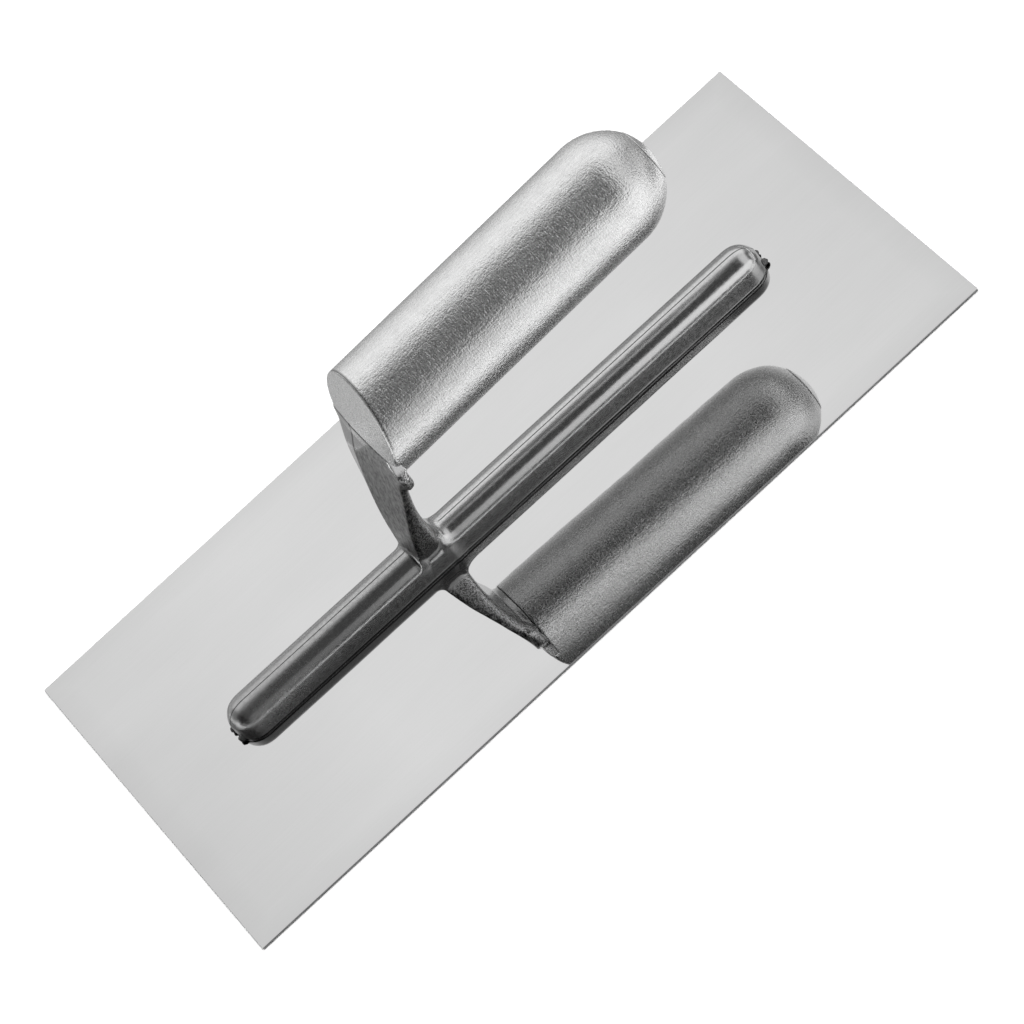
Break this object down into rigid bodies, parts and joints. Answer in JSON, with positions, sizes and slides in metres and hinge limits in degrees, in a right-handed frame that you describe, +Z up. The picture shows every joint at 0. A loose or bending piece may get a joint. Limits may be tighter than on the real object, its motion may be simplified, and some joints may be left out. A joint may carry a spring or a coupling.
{
  "type": "finishing trowel",
  "caption": "Plasterer's finishing trowel: a thin rectangular polished steel blade riveted under a cast spine, whose one post carries a round handle.",
  "frame": {"origin": "centre of the blade's sole", "axes": "+X along the blade towards the handle's domed end, +Z up from the sole towards the handle, +Y across the blade by the right-hand rule"},
  "size_m": [0.28, 0.13, 0.0859],
  "materials": {
    "polished_steel": "mirror polished sheet, very slightly wavy",
    "cast_aluminium": "die cast, glossy with a fine as-cast mottle, sanded on the post's front face",
    "silver_painted_wood": "satin silver paint over turned wood, fine grain showing through",
    "silver_painted_cap": "satin silver paint over turned wood",
    "plain_steel": "drawn bar, unpolished",
    "rivet_steel": "ground flush with the sole"
  },
  "bodies": {
    "root": {"blade": "polished_steel", "mounting_casting": "cast_aluminium", "tang": "plain_steel", "handle": "silver_painted_wood", "end_button": "silver_painted_cap", "blade_rivet_1": "rivet_steel", "blade_rivet_2": "rivet_steel", "blade_rivet_3": "rivet_steel", "blade_rivet_4": "rivet_steel", "blade_rivet_5": "rivet_steel", "blade_rivet_6": "rivet_steel", "blade_rivet_7": "rivet_steel", "blade_rivet_8": "rivet_steel"}
  },
  "joints": []
}
